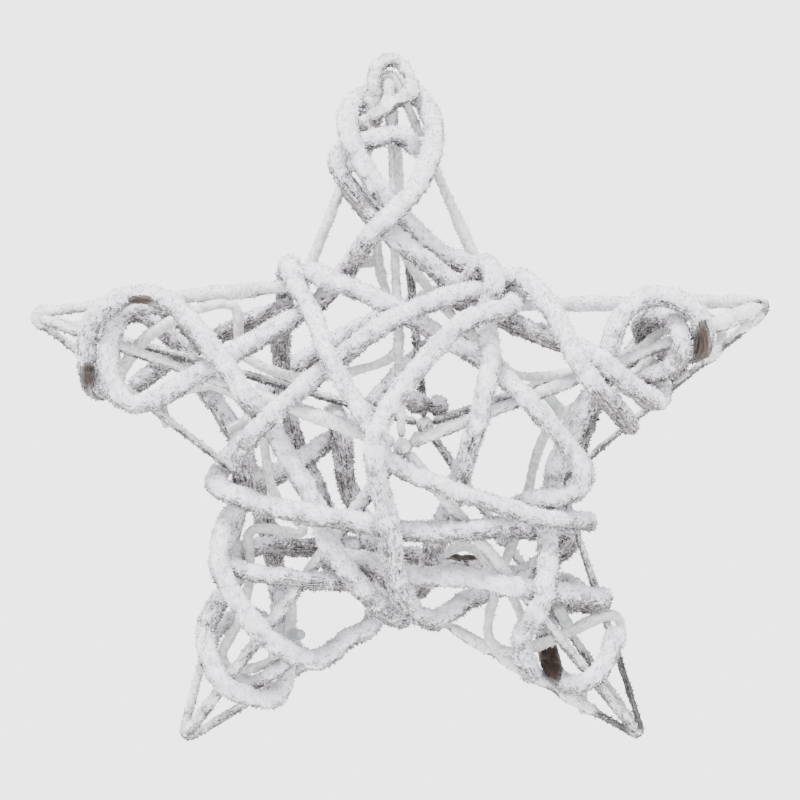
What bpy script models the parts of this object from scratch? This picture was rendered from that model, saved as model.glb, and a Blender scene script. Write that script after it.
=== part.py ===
# Led star light: a hand-wound vine star on a welded wire frame, with a string of small lights inside.
# The star stands upright in the XZ plane and its front looks along -Y. It hangs by its top tip,
# and the origin is there, on the bend of the outline wire.
import math

import bpy
import numpy as np

# Driving sizes, in metres
STAR_RADIUS = 0.157
HUB_DEPTH = 0.045
WIRE_DIAMETER = 0.003
VINE_DIAMETER = 0.008
THIN_VINE_DIAMETER = 0.0056
CABLE_DIAMETER = 0.0034
LIGHT_DIAMETER = 0.0052
LIGHT_LENGTH = 0.0100
HUB_KNOT_DIAMETER = 0.007
TIP_BEND_RADIUS = 0.0022
TOUCH_GAP = 0.0003
LIGHT_GAP = 0.0005

# The hand-bent outline: each corner's share of the star's radius and its angle in degrees
TIPS = {
    "right": (1.017, 20.9),
    "top": (0.955, 92.0),
    "left": (1.006, 161.8),
    "lower_left": (0.966, 234.0),
    "lower_right": (0.981, 309.2),
}
NOTCHES = {
    "upper_right": (0.434, 55.3),
    "upper_left": (0.483, 122.7),
    "left": (0.418, 196.3),
    "bottom": (0.427, 272.1),
    "right": (0.430, 346.0),
}
HUB_PLACE = (0.030, 0.012)

# The direction that the routes below are drawn from: a little from the right and a little from above
DRAWN_FROM_RIGHT = math.radians(6.0)
DRAWN_FROM_ABOVE = math.radians(5.5)

# How a vine was led by hand: places across and up from the star's middle, in hundredths of its radius,
# and the layer there: 1 and more lie on the front wires, -1 behind the back wires, 0 goes round the outline
VINE_ROUTES = {
    "vine_belt": [
        (46, -23, 0.4), (36, -22, 0.8), (26, -22, 1), (10, -24, 1.4), (-4, -23, 1.3), (-17, -21, 1.5),
        (-25, -19.5, 2), (-37, -17, 2.6), (-42.5, -15, 2.6), (-43.8, -11, 1.5), (-43.5, -6, 0),
        (-38, 6, -1), (-29, 17, -1), (-15, 27, -1), (10, 38, -1), (18, 40, -0.9)],
    "vine_ribbon": [
        (24, 39, 0.3), (19, 43, 0.7), (14, 46, 1), (1, 56, 1), (-8, 68, 1.5), (-12.7, 77, 2),
        (-12.4, 83, 1), (-10.5, 87, 0), (-6.5, 90.5, -1.1), (-1, 91.5, -1.1), (4.5, 86, 0),
        (7.4, 77.5, 1.2), (5, 68, 1.6), (-2, 59, 2), (-12, 48, 1.5), (-19, 41, 1.2), (-27, 33, 1),
        (-43, 23, 1), (-55, 15, 1), (-67, 9, 1), (-73, 9.5, 0.7), (-76.5, 17, 1), (-77, 26, 1),
        (-73, 33, 1), (-66, 35, 0.9), (-60, 35, -0.3), (-54, 27, -1), (-49, 22, -1)],
    "vine_long": [
        (-75, 14, -0.6), (-78.5, 15.5, 0.1), (-81, 19.5, 0.8), (-81, 26, 1.2), (-78, 33, 1.5),
        (-73, 36.5, 1.5), (-66, 37.3, 1.6), (-58, 33.5, 2), (-48, 21, 2), (-38, 9, 2), (-31, -4, 1),
        (-24, -14, 1), (-21, -22, 1), (-16, -31, 1.5), (-9, -41, 1.5), (-2, -46, 1), (2, -46, 0.5)],
    "vine_arm_back": [
        (-71, 13, -0.8), (-66, 17, -1), (-51, 25, -1), (-37, 32, -1), (-29, 36.5, -0.8)],
    "vine_wide": [
        (60, 4, 0.9), (58, 6, 1.1), (53, 12, 2.4), (45, 24, 3), (37, 37, 2), (31, 42.5, 1.8),
        (27, 42, 1.2), (23, 41.5, 1.2), (19, 40, 2), (-1, 32, 2), (-15, 23, 2), (-20, 19, 2),
        (-29, 11, 2.2), (-38, 3, 2.4), (-43, -5, 1.3), (-44.5, -13, 0.9), (-45.5, -20, 0.8),
        (-47.5, -27, 0.7), (-47, -34, 1), (-42, -44, 1.2), (-35, -52, 1.2), (-27, -57, 1), (-22, -58, 0.9),
        (-18, -56, 1), (-15.5, -51, 1), (-11, -51, 0.8), (-8, -49, 1), (-7, -44, 0.4)],
    "vine_slope": [
        (-3, -42, -0.8), (-7, -37, -1), (-14, -29, -1), (-20, -18, -1), (-28, 0, -1), (-32, 17, -1),
        (-31, 34, -1), (-27, 44, 0), (-24.5, 37.5, 2), (-22, 29, 2.4), (-17, 18, 2.6), (-12, 9, 2),
        (-7, 2, 1.2), (-1, -6, 1.5), (11, -12, 2), (26, -17, 2), (40, -19.5, 2), (47.5, -22.5, 1)],
    "vine_ring": [
        (-25, 42, 1.2), (-18.5, 41.7, 2), (-6.5, 36.7, 1.4), (3.5, 30.7, 1.3), (12, 26, 1.1), (21, 22, 1),
        (26, 17, 1.2), (34, 9, 1.6), (43, -1, 1.6), (48, -8, 1.5), (45, -14, 2), (36, -16, 2.8),
        (30, -19, 1.6), (26, -27, 0.2)],
    "vine_bow": [
        (-46, -16, 0), (-27, -6, -1), (-9, 8, -1), (7, 24, -1), (26, 33, -1), (32, 39, 0), (26, 38, 3),
        (14.8, 30.6, 2.6), (4.5, 18.5, 2.6), (-4.2, 7.5, 2.4), (-7, -3, 2), (-6, -11, 1.5), (-3, -21, 2.4),
        (-3, -29, 1.8), (0, -40, 1.4), (4, -45.5, 1), (9, -47.5, 1), (12.5, -45, 0.3), (15, -42, -0.8),
        (22, -40, -1), (32, -35, -1), (41, -29, -1), (44, -24, -0.6)],
    "vine_post": [
        (15, 36, -0.3), (17, 40, 0.6), (21, 42.5, 1.4), (25, 41, 2.1), (26, 37.5, 2), (24, 31, 1.6),
        (23, 23, 2), (21, 10, 2), (17, -1, 1.6), (15, -11, 1), (11, -20, 0.7), (8, -29, 0.6),
        (5, -38, 0.3), (0, -40, -0.6), (-7, -31, -1), (-14, -14, -1), (-17, 3, -1), (-18, 10, -1)],
    "vine_stem": [
        (34.5, -62, 0.5), (33, -59.5, 0.9), (31.5, -56, 1), (31, -51, 1), (36, -39, 2), (38, -27, 1),
        (38, -17, 0.8), (41, -4, 1), (46, 7, 1), (51, 16, 1), (53, 23, 1), (58, 34, 1.2), (65, 38, 1.5),
        (72, 37, 1.5), (76.5, 31, 1.4), (77, 25, 1.3), (75.5, 18.8, 0.6), (72.5, 15.8, -0.2), (69, 23, -1),
        (65, 31, -1)],
    "vine_cross": [
        (9, 79, 0.7), (4, 79, 1), (-4, 79, 1), (-10, 78, 1), (-15, 77, 0.9), (-17.5, 74, 0.7),
        (-16.5, 70, 0.9), (-13, 66, 1), (-7, 57, 1), (5, 48, 1), (16, 39, 0.9), (26, 32.5, 1),
        (39, 27, 1.2), (49, 23, 2), (57, 16, 2), (63, 13.5, 2), (67, 12.5, 1), (69, 14, 0.1), (65, 20, -1),
        (60, 27, -1)],
    "vine_turn": [
        (38, -45, -0.5), (39, -34, -0.9), (41, -20, -1), (44, -8, -1), (50, 9, -1), (53, 15, -1),
        (58, 22, -1), (64, 29, -1), (67, 33, -0.2), (70.5, 32.5, 1.2), (72.5, 27, 1.8), (72, 21, 1.8),
        (68, 17, 1.6), (62, 14, 0.9)],
    "vine_low": [
        (-21, -33, 0.6), (-14, -33, 0.7), (-4, -34, 1), (7, -36, 1), (15, -35, 1.1), (28, -38, 1.2),
        (37, -39, 1), (47, -40, 1.1), (54.5, -41, 0.8)],
    "vine_toe": [
        (53, -43, -0.8), (46, -41, -1), (41, -43, -1), (38.5, -49, -1), (37.5, -56, -1), (39, -60.5, -0.2),
        (43, -63, 0.8), (49, -61.5, 1.1), (53.5, -57, 1.1), (55.5, -52, 0.9), (55.5, -47.5, 0.4)],
    "vine_band": [
        (-8, -37, 0.8), (-16, -36, 1), (-33, -35.5, 1), (-40.5, -34.8, 0.9), (-43.5, -32, 0.2),
        (-39.5, -29, -0.8), (-21, -29, -1), (3, -30, -1), (23, -34, -1), (41, -37, -1), (47, -39, -1)],
    "vine_foot": [
        (-42, -33, 0.3), (-47, -41, 0.9), (-51, -48, 1), (-51.5, -54, 1.1), (-49, -61, 1.6),
        (-44, -66, 1.8), (-37.5, -67.2, 1.2), (-33, -65.8, 1), (-29, -61, -0.1), (-31, -52, -1),
        (-33, -39, -1), (-35, -25, -1), (-39, -12, -1), (-43, 0, -1), (-51, 12, -1), (-58, 23, -1),
        (-66, 31, -1), (-73, 33, -1), (-76, 26, -1), (-76, 18, -1)],
}
THIN_VINE_ROUTES = {
    "hub_tie": [
        (7, 10, -0.5), (2.4, 10, -0.65), (2.2, 10, -1), (6, 9.5, -1.3), (10, 9.5, -1.2), (11.6, 10, -0.8),
        (11.6, 10, -0.5)],
    "vine_foot_inner": [
        (-44, -46, -1), (-50, -52, -0.6), (-51, -57, 0.3), (-46, -61, 1.2), (-37, -64, 1.2),
        (-30.5, -60, 0.8), (-29, -55, -0.3), (-34, -49, -1), (-40, -46, -1)],
    "tip_winding": [
        (-9, 81, 1), (-7, 89, 1.2), (-6, 94, 1.1), (-4, 99, 0), (0, 95, -1), (3, 91, 0), (-1, 89.5, 1.4),
        (-6, 86, 1.8), (-11, 82, 1.2)],
}
CABLE_ROUTE = [
    (-29, -41, 0.1), (-29, -50, 0.3), (-31, -57, 0.3), (-40, -61, 0.2), (-48, -58, 0), (-41, -44, 0.3),
    (-42, -28, 0.2), (-38, -23, 0.1), (-24, -25, 0.1), (-33, -16, 0), (-36, -3, 0), (-40, 9, -0.2),
    (-53, 14, -0.2), (-62, 10.5, -0.2), (-70, 9.5, 0), (-74, 13, 0.3), (-71, 21.5, 0.4), (-60, 31, 0.3),
    (-43, 35, 0.2), (-43, 23, 0.1), (-27, 16, -0.2), (-15, 18, -0.3), (-1, 23, -0.3), (-4, 39, -0.2),
    (-7, 48, 0), (-6, 59, 0.3), (-10, 68, 0.4), (-8, 78, 0.2), (-3, 82, -0.2), (-1, 70, -0.3),
    (-1, 53, -0.2), (7, 40, 0), (20, 27, -0.2), (28, 18, -0.2), (37, 17, -0.2), (49, 20, -0.2),
    (58, 21.5, -0.1), (64, 26.5, 0.1), (70, 32, 0.1), (78, 33.5, 0), (84, 30, 0), (82, 24, 0.1),
    (76, 24, -0.2), (69, 27, 0.3), (65, 23, 0.5), (62, 17.5, 0.4), (56, 13.5, 0.2), (46, 10, 0.1),
    (38, 3, 0), (34, -8, 0), (31, -22, 0), (27, -30, 0), (25, -40, 0.1), (22, -50, 0.1), (25, -54.5, 0.2),
    (32, -54.5, 0.7), (43, -50, 0.9), (53, -46.5, 1), (56, -47.5, 0), (55, -54, -0.5), (51, -62, -0.5),
    (45, -64, -0.4), (38, -61, -0.4), (34, -54, -0.4), (31, -45, -0.3), (24, -34, -0.1), (17, -27, 0),
    (11, -30, 0), (5, -34, -0.2)]

# Where each light sits along the cable, in hundredths of the star's radius, and the way it points, in degrees
LIGHT_PLACES = [
    (-60, 9, -35), (-28, -54, 55), (45, -48, 120), (-43, 7, 200), (-7, 46, 235), (40, 10, 90),
    (71, 28, 250), (49, -69, 270), (-54, -59, 180), (-30, -62, 0), (-8, 80, 120), (10, -30, 260)]

# Steps of the settling, in which the wound vines and the cable take their places over each other
POINT_SPACING = 0.0065
LARGEST_MOVE = 0.0012
LAYER_DEPTH = 0.004
SETTLING_STEPS = 360
FINAL_STEPS = 400
PULL_TO_ROUTE = 0.12
TENSION = 0.22
STIFFNESS = 0.045
END_PULL = 0.15
SIDE_SHARE_OF_A_PUSH = 0.45
THINNING_TOLERANCE = 0.0009
LARGEST_BEND = math.radians(38.0)
LONGEST_STRAIGHT = 0.032
TUBE_RESOLUTION = 2

# How many places on the cable and turns round it are tried for each light
PLACES_TRIED = 10
TURNS_TRIED = 36


def clear_scene():
    for thing in list(bpy.data.objects):
        bpy.data.objects.remove(thing, do_unlink=True)


def corner_place(corner):
    share, angle = corner
    turn = math.radians(angle)
    return np.array([math.cos(turn), math.sin(turn)]) * share * STAR_RADIUS


def unit(vector):
    return vector / np.linalg.norm(vector)


# The frame's plan: corners go round the star from the right tip, a tip and a notch in turn
TIP_PLACES = {name: corner_place(corner) for name, corner in TIPS.items()}
NOTCH_PLACES = {name: corner_place(corner) for name, corner in NOTCHES.items()}
CORNERS = [place for pair in zip(TIP_PLACES.values(), NOTCH_PLACES.values()) for place in pair]
HUB = np.array(HUB_PLACE) * STAR_RADIUS
ORIGIN = TIP_PLACES["top"]


def rounded_corner(before, corner, after, bend_radius, arc_points):
    """Points of the arc that takes the place of a sharp corner."""
    to_before = unit(before - corner)
    to_after = unit(after - corner)
    half_angle = math.acos(np.clip(np.dot(to_before, to_after), -1.0, 1.0)) / 2.0
    inward = unit(to_before + to_after)
    middle = corner + inward * bend_radius / math.sin(half_angle)
    start = corner + to_before * bend_radius / math.tan(half_angle) - middle
    end = corner + to_after * bend_radius / math.tan(half_angle) - middle
    first = math.atan2(start[1], start[0])
    sweep = math.atan2(end[1], end[0]) - first
    sweep = (sweep + math.pi) % (2.0 * math.pi) - math.pi
    angles = [first + sweep * index / (arc_points - 1) for index in range(arc_points)]
    return [middle + bend_radius * np.array([math.cos(a), math.sin(a)]) for a in angles]


def outline_points():
    """The bent outline wire, whose arcs touch the tips' places from inside."""
    points = []
    count = len(CORNERS)
    for index, corner in enumerate(CORNERS):
        before = CORNERS[index - 1]
        after = CORNERS[(index + 1) % count]
        is_tip = index % 2 == 0
        arc_points = 6 if is_tip else 3
        if is_tip:
            half_angle = math.acos(np.dot(unit(before - corner), unit(after - corner))) / 2.0
            corner = corner + unit(corner) * TIP_BEND_RADIUS * (1.0 / math.sin(half_angle) - 1.0)
        points += rounded_corner(before, corner, after, TIP_BEND_RADIUS, arc_points)
    return np.array([(p[0], 0.0, p[1]) for p in points])


def face_depth(places):
    """How far the wire faces stand out from the flat outline at places of the plan."""
    depth = np.zeros(len(places))
    count = len(CORNERS)
    for index in range(count):
        side_a = CORNERS[index] - HUB
        side_b = CORNERS[(index + 1) % count] - HUB
        area = side_a[0] * side_b[1] - side_a[1] * side_b[0]
        offset = places - HUB
        share_a = (offset[:, 0] * side_b[1] - offset[:, 1] * side_b[0]) / area
        share_b = (side_a[0] * offset[:, 1] - side_a[1] * offset[:, 0]) / area
        inside = (share_a >= 0.0) & (share_b >= 0.0)
        depth[inside] = HUB_DEPTH * np.clip(1.0 - share_a - share_b, 0.0, 1.0)[inside]
    return depth


def outside_the_outline(place, clearance):
    """The nearest place that clears the outline wire on its outer side."""
    best_distance = math.inf
    best_place = place
    count = len(CORNERS)
    for index in range(count):
        start = CORNERS[index]
        along = CORNERS[(index + 1) % count] - start
        share = np.clip(np.dot(place - start, along) / np.dot(along, along), 0.0, 1.0)
        foot = start + along * share
        outward = unit(np.array([along[1], -along[0]]))
        distance = np.linalg.norm(place - foot)
        if distance < best_distance:
            best_distance = distance
            offset = place - foot
            if np.dot(offset, outward) < 0.0 or distance < 1e-6:
                offset = outward
            best_place = foot + unit(offset) * min(max(distance, clearance), clearance * 1.25)
    return best_place


def smooth_route(waypoints, spacing):
    """Evenly spaced points on a smooth curve through the waypoints."""
    ways = np.array(waypoints, dtype=float)
    padded = np.vstack([2.0 * ways[0] - ways[1], ways, 2.0 * ways[-1] - ways[-2]])
    fine = []
    for index in range(1, len(padded) - 2):
        p0, p1, p2, p3 = padded[index - 1:index + 3]
        for share in np.linspace(0.0, 1.0, 24, endpoint=False):
            fine.append(0.5 * (2.0 * p1 + (p2 - p0) * share
                               + (2.0 * p0 - 5.0 * p1 + 4.0 * p2 - p3) * share ** 2
                               + (3.0 * p1 - p0 - 3.0 * p2 + p3) * share ** 3))
    fine.append(padded[-2])
    fine = np.array(fine)
    lengths = np.concatenate([[0.0], np.cumsum(np.linalg.norm(np.diff(fine[:, :3], axis=0), axis=1))])
    count = max(3, int(round(lengths[-1] / spacing)) + 1)
    stations = np.linspace(0.0, lengths[-1], count)
    return np.column_stack([np.interp(stations, lengths, fine[:, axis]) for axis in range(fine.shape[1])])


def starting_route(route, diameter, is_cable=False):
    """Points of the route as drawn, with their depth and how firmly each stays in the outline's plane."""
    wire_to_vine = (WIRE_DIAMETER + diameter) / 2.0 + TOUCH_GAP
    waypoints = []
    for across, up, layer in route:
        place = np.array([across, up]) / 100.0 * STAR_RADIUS
        at_edge = layer == 0 and not is_cable
        if at_edge:
            place = outside_the_outline(place, wire_to_vine)
        waypoints.append((place[0], place[1], layer * LAYER_DEPTH, 1.0 if at_edge else 0.0))
    samples = smooth_route(waypoints, POINT_SPACING)
    layer = samples[:, 2] / LAYER_DEPTH
    depth = np.zeros(len(samples))
    for _ in range(3):
        standing = face_depth(seen_to_true(samples[:, :2], depth)) + wire_to_vine
        extra = np.maximum(np.abs(layer) - 1.0, 0.0) * VINE_DIAMETER * 1.05
        depth = -np.sign(layer) * (np.minimum(np.abs(layer), 1.0) * standing + extra)
    return samples[:, :2], depth, np.clip(samples[:, 3], 0.0, 1.0)


def seen_to_true(seen, depth):
    """Where points that are drawn at places of the plan really are, at their depth."""
    lean = np.array([math.tan(DRAWN_FROM_RIGHT), math.tan(DRAWN_FROM_ABOVE)])
    return seen - depth[:, None] * lean


def split_run(start, end, spacing):
    count = max(2, int(math.ceil(np.linalg.norm(end - start) / spacing)) + 1)
    return [start + (end - start) * index / (count - 1) for index in range(count)]


def nearest_on_segments(a0, a1, b0, b1):
    """Shares along both segments at which two sets of segments come nearest to each other."""
    along_a = a1 - a0
    along_b = b1 - b0
    between = a0 - b0
    aa = np.einsum("ij,ij->i", along_a, along_a)
    bb = np.einsum("ij,ij->i", along_b, along_b)
    ab = np.einsum("ij,ij->i", along_a, along_b)
    ac = np.einsum("ij,ij->i", along_a, between)
    bc = np.einsum("ij,ij->i", along_b, between)
    spread = np.maximum(aa * bb - ab * ab, 1e-18)
    share_a = np.clip((ab * bc - bb * ac) / spread, 0.0, 1.0)
    share_b = np.clip((ab * share_a + bc) / bb, 0.0, 1.0)
    share_a = np.clip((ab * share_b - ac) / aa, 0.0, 1.0)
    return share_a, share_b


class Winding:
    """All strands at once, as points joined by segments, some of them fixed."""

    def __init__(self, strands):
        self.names = [strand["name"] for strand in strands]
        self.counts = [len(strand["points"]) for strand in strands]
        self.points = np.vstack([strand["points"] for strand in strands])
        self.drawn = np.vstack([strand["drawn"] for strand in strands])
        self.led = self.points[:, 1].copy()
        self.flat = np.concatenate([strand["flat"] for strand in strands])
        self.loose = np.concatenate([np.full(len(s["points"]), s["loose"]) for s in strands])
        starts = np.concatenate([[0], np.cumsum(self.counts)])
        self.ranges = list(zip(starts[:-1], starts[1:]))
        seg_start, seg_strand, seg_radius = [], [], []
        for number, (strand, (low, high)) in enumerate(zip(strands, self.ranges)):
            seg_start += list(range(low, high - 1))
            seg_strand += [number] * (high - low - 1)
            seg_radius += [strand["radius"]] * (high - low - 1)
        self.seg = np.array(seg_start)
        self.strand = np.array(seg_strand)
        self.radius = np.array(seg_radius)
        self.seg_loose = self.loose[self.seg]
        self.find_neighbours()

    def find_neighbours(self, margin=POINT_SPACING):
        a0 = self.points[self.seg]
        a1 = self.points[self.seg + 1]
        middle = (a0 + a1) / 2.0
        reach = np.linalg.norm(a1 - a0, axis=1) / 2.0 + self.radius
        first, second = np.triu_indices(len(self.seg), 1)
        apart = np.linalg.norm(middle[first] - middle[second], axis=1)
        near = apart < reach[first] + reach[second] + margin
        near &= (self.seg_loose[first] + self.seg_loose[second]) > 0
        first, second = first[near], second[near]
        lengths = np.linalg.norm(a1 - a0, axis=1)
        along = np.concatenate([[0.0], np.cumsum(lengths)])[:-1]
        same = self.strand[first] == self.strand[second]
        run = along[second] - along[first] - lengths[first]
        too_near = same & (run < 3.2 * self.radius[first])
        self.first = first[~too_near]
        self.second = second[~too_near]

    def push_apart(self, gap, side_share):
        """Moves strands that are nearer than their radii and the gap allow, and tells the worst case."""
        i0 = self.seg[self.first]
        j0 = self.seg[self.second]
        a0, a1 = self.points[i0], self.points[i0 + 1]
        b0, b1 = self.points[j0], self.points[j0 + 1]
        share_a, share_b = nearest_on_segments(a0, a1, b0, b1)
        near_a = a0 + (a1 - a0) * share_a[:, None]
        near_b = b0 + (b1 - b0) * share_b[:, None]
        offset = near_a - near_b
        distance = np.linalg.norm(offset, axis=1)
        lack = self.radius[self.first] + self.radius[self.second] + gap - distance
        hit = lack > 0.0
        if not hit.any():
            return 0.0
        i0, j0, share_a, share_b = i0[hit], j0[hit], share_a[hit], share_b[hit]
        way = offset[hit] / np.maximum(distance[hit], 1e-9)[:, None]
        push = way * np.array([side_share, 1.0, side_share])
        push *= (lack[hit] / np.maximum(np.einsum("ij,ij->i", push, way), 0.05))[:, None]
        loose_a = self.loose[i0]
        loose_b = self.loose[j0]
        total = loose_a + loose_b
        moves = np.zeros_like(self.points)
        counts = np.zeros(len(self.points))
        for start, share, part in ((i0, share_a, loose_a / total), (j0, share_b, -loose_b / total)):
            weight_0 = 1.0 - share
            weight_1 = share
            scale = part / (weight_0 ** 2 + weight_1 ** 2)
            np.add.at(moves, start, push * (weight_0 * scale)[:, None])
            np.add.at(moves, start + 1, push * (weight_1 * scale)[:, None])
            np.add.at(counts, start, weight_0)
            np.add.at(counts, start + 1, weight_1)
        moves /= np.maximum(counts, 1.0)[:, None]
        length = np.linalg.norm(moves, axis=1)
        moves *= np.minimum(1.0, LARGEST_MOVE / np.maximum(length, 1e-12))[:, None]
        self.points += moves * (self.loose > 0)[:, None]
        return float(lack.max())

    def settle(self):
        """Draws the strands taut over the frame and smooth, while they keep to their drawn routes."""
        pull = self.points
        for low, high in self.ranges:
            if self.loose[low] == 0 or high - low < 5:
                continue
            run = pull[low:high]
            middle = run[1:-1]
            bend = run[:-2] - 2.0 * middle + run[2:]
            depth_change = np.zeros(high - low)
            depth_change[1:-1] += TENSION * bend[:, 1] * (1.0 - self.flat[low + 1:high - 1])
            depth_change[0] = END_PULL * (self.led[low] - run[0, 1])
            depth_change[-1] = END_PULL * (self.led[high - 1] - run[-1, 1])
            fourth = bend[:-2] - 2.0 * bend[1:-1] + bend[2:]
            run[:, 1] += depth_change
            run[2:-2] -= STIFFNESS * fourth
            run[:, 1] -= 0.5 * self.flat[low:high] ** 2 * run[:, 1]
            target = seen_to_true(self.drawn[low:high], run[:, 1])
            run[:, [0, 2]] += PULL_TO_ROUTE * (target - run[:, [0, 2]])

    def strand_points(self, number):
        low, high = self.ranges[number]
        return self.points[low:high].copy()


def thinned(points):
    """The fewest points that keep the path's shape, with no sharp bend and no very long straight."""
    kept = [0]
    start = 0
    while start < len(points) - 1:
        end = start + 1
        while end + 1 < len(points):
            trial = end + 1
            chord = points[trial] - points[start]
            length = np.linalg.norm(chord)
            inner = points[start + 1:trial] - points[start]
            off = np.linalg.norm(np.cross(inner, chord / length), axis=1).max()
            first_way = unit(points[start + 1] - points[start])
            last_way = unit(points[trial] - points[trial - 1])
            turn = math.acos(np.clip(np.dot(first_way, last_way), -1.0, 1.0))
            if off > THINNING_TOLERANCE or length > LONGEST_STRAIGHT or turn > LARGEST_BEND:
                break
            end = trial
        kept.append(end)
        start = end
    return points[kept]


def fixed_strand(name, start, end, diameter):
    points = np.array(split_run(np.array(start), np.array(end), POINT_SPACING * 1.5))
    return {"name": name, "points": points, "drawn": points[:, [0, 2]], "radius": diameter / 2.0,
            "flat": np.zeros(len(points)), "loose": 0.0}


def loose_strand(name, route, diameter, is_cable=False):
    drawn, depth, flat = starting_route(route, diameter, is_cable)
    true = seen_to_true(drawn, depth)
    points = np.column_stack([true[:, 0], depth, true[:, 1]])
    return {"name": name, "points": points, "drawn": drawn, "radius": diameter / 2.0,
            "flat": flat, "loose": 1.0}


def wire_runs():
    """The straight wires from both hubs to the tips, ending on the hub knots and on the outline's tips."""
    runs = {}
    tip_clearance = WIRE_DIAMETER + TOUCH_GAP
    knot_clearance = HUB_KNOT_DIAMETER / 2.0 + TOUCH_GAP
    for side, sign in (("front", -1.0), ("back", 1.0)):
        hub = np.array([HUB[0], sign * HUB_DEPTH, HUB[1]])
        for name, tip in TIP_PLACES.items():
            end = np.array([tip[0], sign * tip_clearance, tip[1]])
            way = unit(end - hub)
            runs[f"{side}_wire_{name}"] = (hub + way * knot_clearance, end - way * WIRE_DIAMETER / 2.0)
    return runs


def settle_strands(strands):
    winding = Winding(strands)
    for step in range(SETTLING_STEPS):
        winding.settle()
        for _ in range(2):
            winding.push_apart(TOUCH_GAP + THINNING_TOLERANCE * 1.2, SIDE_SHARE_OF_A_PUSH)
        if step % 12 == 0:
            winding.find_neighbours()
    thin = []
    for number, strand in enumerate(strands):
        points = winding.strand_points(number)
        if strand["loose"] > 0:
            points = thinned(points)
        thin.append(dict(strand, points=points, drawn=points[:, [0, 2]], flat=np.zeros(len(points))))
    final = Winding(thin)
    for step in range(FINAL_STEPS):
        lack = final.push_apart(TOUCH_GAP * 1.02, 0.8)
        if step % 20 == 0:
            final.find_neighbours()
        elif lack < TOUCH_GAP * 0.03:
            final.find_neighbours()
            lack = final.push_apart(TOUCH_GAP * 1.02, 0.8)
            if lack < TOUCH_GAP * 0.03:
                break
    return final


def clearance_of(samples, starts, ends, radii):
    """The smallest distance from the sample points to the skins of the tubes."""
    along = ends - starts
    offset = samples[:, None, :] - starts[None, :, :]
    share = np.clip(np.einsum("sni,ni->sn", offset, along) / np.einsum("ni,ni->n", along, along), 0.0, 1.0)
    apart = np.linalg.norm(offset - share[:, :, None] * along[None, :, :], axis=2)
    return float((apart - radii[None, :]).min())


def light_skin(base, way):
    """Points on the skin of a light that stands on its base and points along its way."""
    across = unit(np.cross(way, (0.31, 0.86, 0.4)))
    other = np.cross(way, across)
    samples = [base + way * LIGHT_LENGTH]
    for share in np.linspace(0.0, 1.0, 7):
        for turn in np.linspace(0.0, 2.0 * math.pi, 12, endpoint=False):
            rim = (across * math.cos(turn) + other * math.sin(turn)) * LIGHT_DIAMETER / 2.0
            samples.append(base + way * LIGHT_LENGTH * share + rim)
    return np.array(samples)


def place_lights(winding):
    """Finds for each light a place on the cable where it points freely, near the way it is drawn."""
    starts = winding.points[winding.seg]
    ends = winding.points[winding.seg + 1]
    radii = winding.radius
    cable = winding.strand_points(winding.names.index("light_cable"))
    middles = (cable[:-1] + cable[1:]) / 2.0
    tangents = np.diff(cable, axis=0)
    standoff = CABLE_DIAMETER / 2.0 + LIGHT_GAP
    lights = []
    for across, up, degrees in LIGHT_PLACES:
        drawn = np.array([across, up]) / 100.0 * STAR_RADIUS
        seen = middles[:, [0, 2]] - seen_to_true(np.zeros((len(middles), 2)), middles[:, 1])
        nearness = np.linalg.norm(seen - drawn, axis=1)
        turn = math.radians(degrees)
        wanted = np.array([math.cos(turn), -0.3, math.sin(turn)])
        best = None
        for index in np.argsort(nearness)[:PLACES_TRIED]:
            reach = np.linalg.norm((starts + ends) / 2.0 - middles[index], axis=1)
            reach -= np.linalg.norm(ends - starts, axis=1) / 2.0 + radii
            around = reach < standoff + LIGHT_LENGTH + LIGHT_DIAMETER
            tangent = unit(tangents[index])
            side = unit(np.cross(tangent, (0.0, 1.0, 0.0)))
            up_way = np.cross(tangent, side)
            for angle in np.linspace(0.0, 2.0 * math.pi, TURNS_TRIED, endpoint=False):
                way = side * math.cos(angle) + up_way * math.sin(angle)
                base = middles[index] + way * standoff
                free = clearance_of(light_skin(base, way), starts[around], ends[around], radii[around])
                score = np.dot(way, wanted) - nearness[index] / LIGHT_LENGTH
                if free < TOUCH_GAP:
                    score -= 5.0 + (TOUCH_GAP - free) / TOUCH_GAP
                if best is None or score > best[0]:
                    best = (score, base, way)
        _, base, way = best
        lights.append((base, way))
        starts = np.vstack([starts, base])
        ends = np.vstack([ends, base + way * LIGHT_LENGTH])
        radii = np.append(radii, LIGHT_DIAMETER / 2.0)
    return lights


def make_collection(name):
    collection = bpy.data.collections.new(name)
    bpy.context.scene.collection.children.link(collection)
    return collection


def make_material(name, colour, roughness, metallic=0.0):
    material = bpy.data.materials.new(name)
    material.use_nodes = True
    shader = material.node_tree.nodes["Principled BSDF"]
    shader.inputs["Base Color"].default_value = (*colour, 1.0)
    shader.inputs["Roughness"].default_value = roughness
    shader.inputs["Metallic"].default_value = metallic
    return material


def add_tube(collection, name, points, diameter, material, closed=False, widths=None):
    """A tube along points that are given from the star's middle."""
    curve = bpy.data.curves.new(name, "CURVE")
    curve.dimensions = "3D"
    curve.bevel_depth = diameter / 2.0
    curve.bevel_resolution = TUBE_RESOLUTION
    curve.use_fill_caps = not closed
    spline = curve.splines.new("POLY")
    spline.points.add(len(points) - 1)
    for spline_point, point in zip(spline.points, points):
        spline_point.co = (point[0] - ORIGIN[0], point[1], point[2] - ORIGIN[1], 1.0)
    for spline_point, width in zip(spline.points, widths or ()):
        spline_point.radius = width
    spline.use_cyclic_u = closed
    spline.use_smooth = True
    curve.materials.append(material)
    tube = bpy.data.objects.new(name, curve)
    collection.objects.link(tube)
    return tube


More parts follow.
